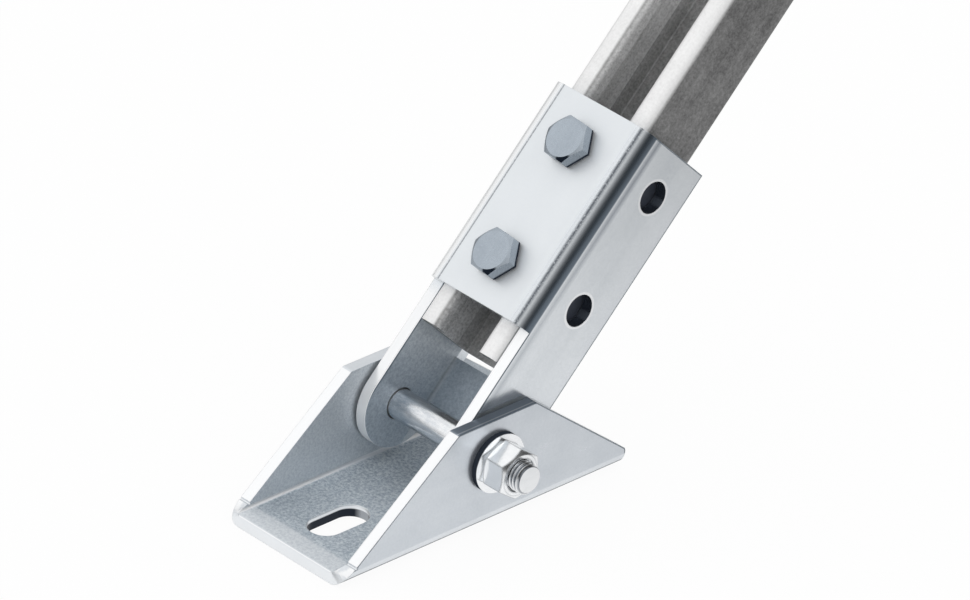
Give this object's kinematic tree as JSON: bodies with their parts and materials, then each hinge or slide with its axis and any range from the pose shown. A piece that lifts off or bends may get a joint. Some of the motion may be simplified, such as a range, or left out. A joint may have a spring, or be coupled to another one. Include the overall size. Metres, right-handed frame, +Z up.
{
  "type": "adjustable angle bracket",
  "caption": "Adjustable angle bracket: a slotted U-shaped base with two ears, a folded saddle tilting on a through bolt, and a strut channel screwed into the saddle.",
  "frame": {"origin": "on the underside of the base plate, straight below the pivot axis and midway between the ears", "axes": "+X along the pivot towards the pivot nut, +Y rearward along the base plate to the side the strut leans over, +Z up out of the base plate"},
  "size_m": [0.0895, 0.2293, 0.1878],
  "materials": {
    "base_bracket": "bright zinc plated, satin",
    "swivel_saddle": "bright zinc plated, satin",
    "pivot_bolt": "bright zinc plated, satin",
    "pivot_washer": "bright zinc plated, satin",
    "pivot_nut": "bright zinc plated, satin",
    "saddle_screw_lower": "bright zinc plated, satin",
    "saddle_screw_upper": "bright zinc plated, satin",
    "strut_channel": "mill galvanised, mottled",
    "channel_nut_lower": "bright zinc plated, satin",
    "channel_nut_upper": "bright zinc plated, satin"
  },
  "bodies": {
    "base": {"base_bracket": "base_bracket", "pivot_bolt": "pivot_bolt", "pivot_washer": "pivot_washer", "pivot_nut": "pivot_nut"},
    "arm": {"swivel_saddle": "swivel_saddle", "strut_channel": "strut_channel", "saddle_screw_lower": "saddle_screw_lower", "saddle_screw_upper": "saddle_screw_upper", "channel_nut_lower": "channel_nut_lower", "channel_nut_upper": "channel_nut_upper"}
  },
  "joints": [
    {"name": "tilt", "type": "hinge", "parent": "base", "child": "arm", "pos_m": [0, 0, 0.0276], "axis": [1, 0, 0], "range_deg": [-40, 120]}
  ]
}
